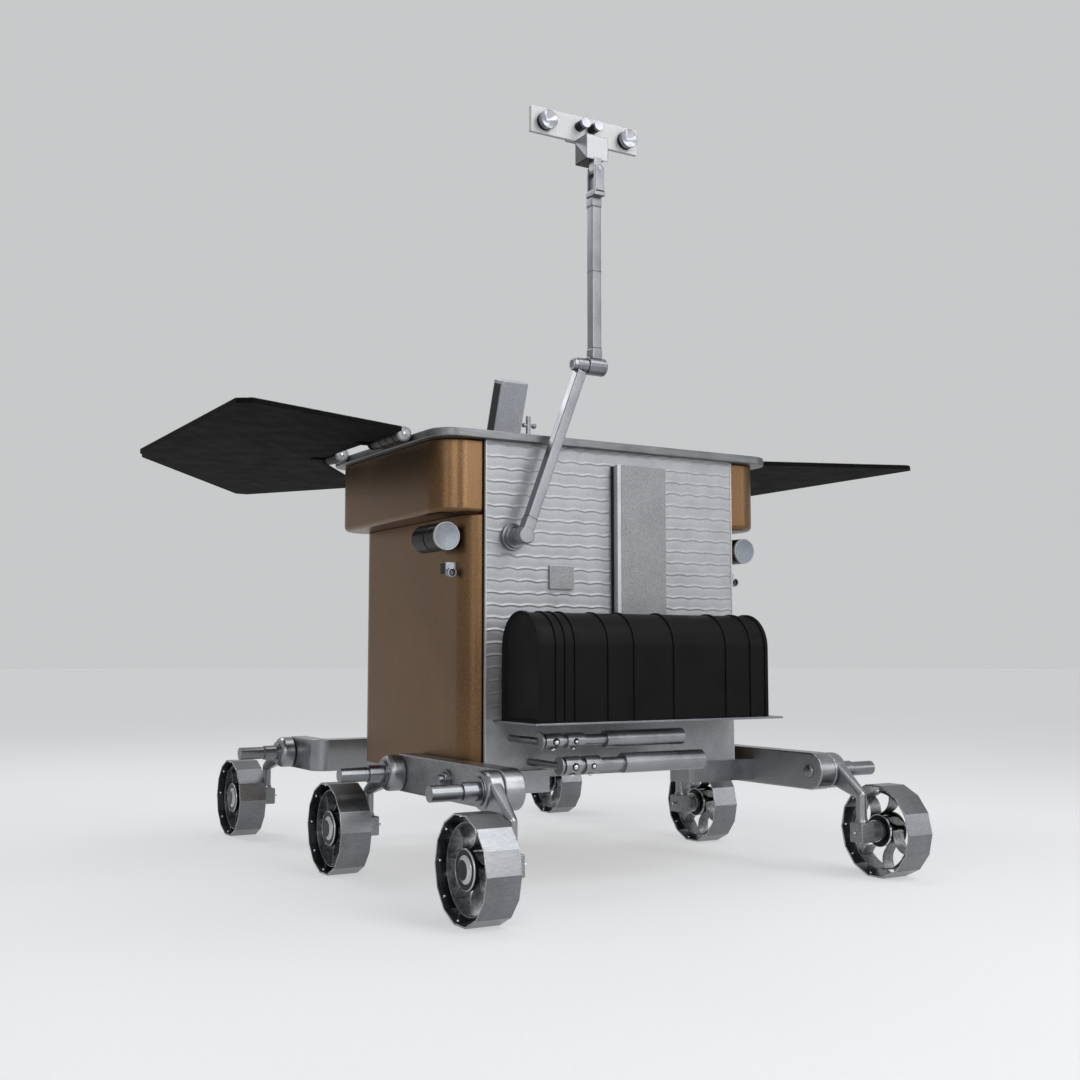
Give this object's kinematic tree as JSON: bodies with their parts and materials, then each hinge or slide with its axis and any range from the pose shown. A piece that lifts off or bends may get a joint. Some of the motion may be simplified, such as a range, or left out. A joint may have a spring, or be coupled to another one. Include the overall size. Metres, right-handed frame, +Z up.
{
  "type": "planetary rover",
  "caption": "Wheeled planetary rover with a box hull under a deck, folding solar wings, a jointed camera mast, a covered store at the front and steered metal wheels on bogie legs.",
  "frame": {"origin": "on the ground under the middle of the rover's outline, wings open", "axes": "+Z up; the rover faces -Y, and its own left is +X"},
  "size_m": [2.362, 2.289, 2.246],
  "materials": {
    "hull_gold": "satin gold-toned thermal blanket",
    "front_blanket": "quilted silver thermal blanket",
    "deck_metal": "satin machined plate",
    "frame_metal": "grained faces with satin edges",
    "leg_metal": "satin anodised",
    "wheel_metal": "thin rolled sheet, satin",
    "mast_metal": "satin anodised",
    "store_black": "black thermal blanket over ribs",
    "hinge_black": "matt black",
    "solar_cell": "dark cells bonded to a black carbon panel with a pale edge"
  },
  "bodies": {
    "chassis": {"bogie_beam_left": "frame_metal", "bogie_beam_right": "frame_metal", "bogie_bracket_left": "frame_metal", "bogie_bracket_right": "frame_metal", "cover_plate": "deck_metal", "deck_box": "deck_metal", "deck_plate": "deck_metal", "deck_sensor": "leg_metal", "drill_shelf": "deck_metal", "drill_store": "store_black", "front_panel": "front_blanket", "hull_collar": "hull_gold", "hull_lower": "hull_gold", "leg_front_left": "leg_metal", "leg_front_right": "leg_metal", "leg_middle_left": "leg_metal", "leg_middle_right": "leg_metal", "leg_rear_left": "leg_metal", "leg_rear_right": "leg_metal", "mast_base": "mast_metal", "nozzle_left": "leg_metal", "nozzle_right": "leg_metal", "probe_arm_lower": "leg_metal", "probe_arm_upper": "leg_metal", "rear_beam": "frame_metal", "rear_bracket": "frame_metal", "sample_plate": "deck_metal", "side_unit_left": "leg_metal", "side_unit_right": "leg_metal", "wing_hinge_front_left": "hinge_black", "wing_hinge_front_right": "hinge_black", "wing_hinge_rear_left": "hinge_black", "wing_hinge_rear_right": "hinge_black"},
    "knuckle_front_left": {"knuckle_front_left": "leg_metal"},
    "wheel_front_left": {"wheel_front_left": "wheel_metal"},
    "knuckle_front_right": {"knuckle_front_right": "leg_metal"},
    "wheel_front_right": {"wheel_front_right": "wheel_metal"},
    "knuckle_middle_left": {"knuckle_middle_left": "leg_metal"},
    "wheel_middle_left": {"wheel_middle_left": "wheel_metal"},
    "knuckle_middle_right": {"knuckle_middle_right": "leg_metal"},
    "wheel_middle_right": {"wheel_middle_right": "wheel_metal"},
    "knuckle_rear_left": {"knuckle_rear_left": "leg_metal"},
    "wheel_rear_left": {"wheel_rear_left": "wheel_metal"},
    "knuckle_rear_right": {"knuckle_rear_right": "leg_metal"},
    "wheel_rear_right": {"wheel_rear_right": "wheel_metal"},
    "mast_lower": {"mast_lower": "mast_metal"},
    "mast_upper": {"mast_upper": "mast_metal"},
    "mast_head": {"mast_head": "mast_metal"},
    "wing_left": {"wing_left": "solar_cell"},
    "wing_tail_left": {"wing_tail_left": "solar_cell"},
    "wing_right": {"wing_right": "solar_cell"},
    "wing_tail_right": {"wing_tail_right": "solar_cell"}
  },
  "joints": [
    {"name": "steer_front_left", "type": "hinge", "parent": "chassis", "child": "knuckle_front_left", "pos_m": [0.582, -1.00963, 0.13162], "axis": [0, 0, 1], "range_deg": [-22, 22]},
    {"name": "spin_front_left", "type": "hinge", "parent": "knuckle_front_left", "child": "wheel_front_left", "pos_m": [0.676, -1.00963, 0.13162], "axis": [1, 0, 0], "continuous": true},
    {"name": "steer_front_right", "type": "hinge", "parent": "chassis", "child": "knuckle_front_right", "pos_m": [-0.582, -1.00963, 0.13162], "axis": [0, 0, 1], "range_deg": [-22, 22]},
    {"name": "spin_front_right", "type": "hinge", "parent": "knuckle_front_right", "child": "wheel_front_right", "pos_m": [-0.676, -1.00963, 0.13162], "axis": [1, 0, 0], "continuous": true},
    {"name": "steer_middle_left", "type": "hinge", "parent": "chassis", "child": "knuckle_middle_left", "pos_m": [0.582, -0.13963, 0.13162], "axis": [0, 0, 1], "range_deg": [-22, 22]},
    {"name": "spin_middle_left", "type": "hinge", "parent": "knuckle_middle_left", "child": "wheel_middle_left", "pos_m": [0.676, -0.13963, 0.13162], "axis": [1, 0, 0], "continuous": true},
    {"name": "steer_middle_right", "type": "hinge", "parent": "chassis", "child": "knuckle_middle_right", "pos_m": [-0.582, -0.13963, 0.13162], "axis": [0, 0, 1], "range_deg": [-22, 22]},
    {"name": "spin_middle_right", "type": "hinge", "parent": "knuckle_middle_right", "child": "wheel_middle_right", "pos_m": [-0.676, -0.13963, 0.13162], "axis": [1, 0, 0], "continuous": true},
    {"name": "steer_rear_left", "type": "hinge", "parent": "chassis", "child": "knuckle_rear_left", "pos_m": [0.568, 0.82037, 0.13162], "axis": [0, 0, 1], "range_deg": [-22, 22]},
    {"name": "spin_rear_left", "type": "hinge", "parent": "knuckle_rear_left", "child": "wheel_rear_left", "pos_m": [0.662, 0.82037, 0.13162], "axis": [1, 0, 0], "continuous": true},
    {"name": "steer_rear_right", "type": "hinge", "parent": "chassis", "child": "knuckle_rear_right", "pos_m": [-0.568, 0.82037, 0.13162], "axis": [0, 0, 1], "range_deg": [-22, 22]},
    {"name": "spin_rear_right", "type": "hinge", "parent": "knuckle_rear_right", "child": "wheel_rear_right", "pos_m": [-0.662, 0.82037, 0.13162], "axis": [1, 0, 0], "continuous": true},
    {"name": "mast_shoulder", "type": "hinge", "parent": "chassis", "child": "mast_lower", "pos_m": [-0.355, -0.67963, 0.974], "axis": [0, 1, 0], "range_deg": [-20, 25]},
    {"name": "mast_elbow", "type": "hinge", "parent": "mast_lower", "child": "mast_upper", "pos_m": [-0.148, -0.67963, 1.479], "axis": [1, 0, 0], "range_deg": [0, 100]},
    {"name": "head_tilt", "type": "hinge", "parent": "mast_upper", "child": "mast_head", "pos_m": [-0.119, -0.67963, 2.064], "axis": [0, 1, 0], "range_deg": [-45, 45]},
    {"name": "wing_fold_left", "type": "hinge", "parent": "chassis", "child": "wing_left", "pos_m": [0.625, -0.46463, 1.27], "axis": [0, -1, 0], "range_deg": [0, 90]},
    {"name": "tail_fold_left", "type": "hinge", "parent": "wing_left", "child": "wing_tail_left", "pos_m": [0.652, 0.16237, 1.287], "axis": [0.9522, 0.3055, 0], "range_deg": [0, 180]},
    {"name": "wing_fold_right", "type": "hinge", "parent": "chassis", "child": "wing_right", "pos_m": [-0.625, -0.46463, 1.27], "axis": [0, 1, 0], "range_deg": [0, 90]},
    {"name": "tail_fold_right", "type": "hinge", "parent": "wing_right", "child": "wing_tail_right", "pos_m": [-0.652, 0.16237, 1.287], "axis": [0.9522, -0.3055, 0], "range_deg": [0, 180]}
  ]
}
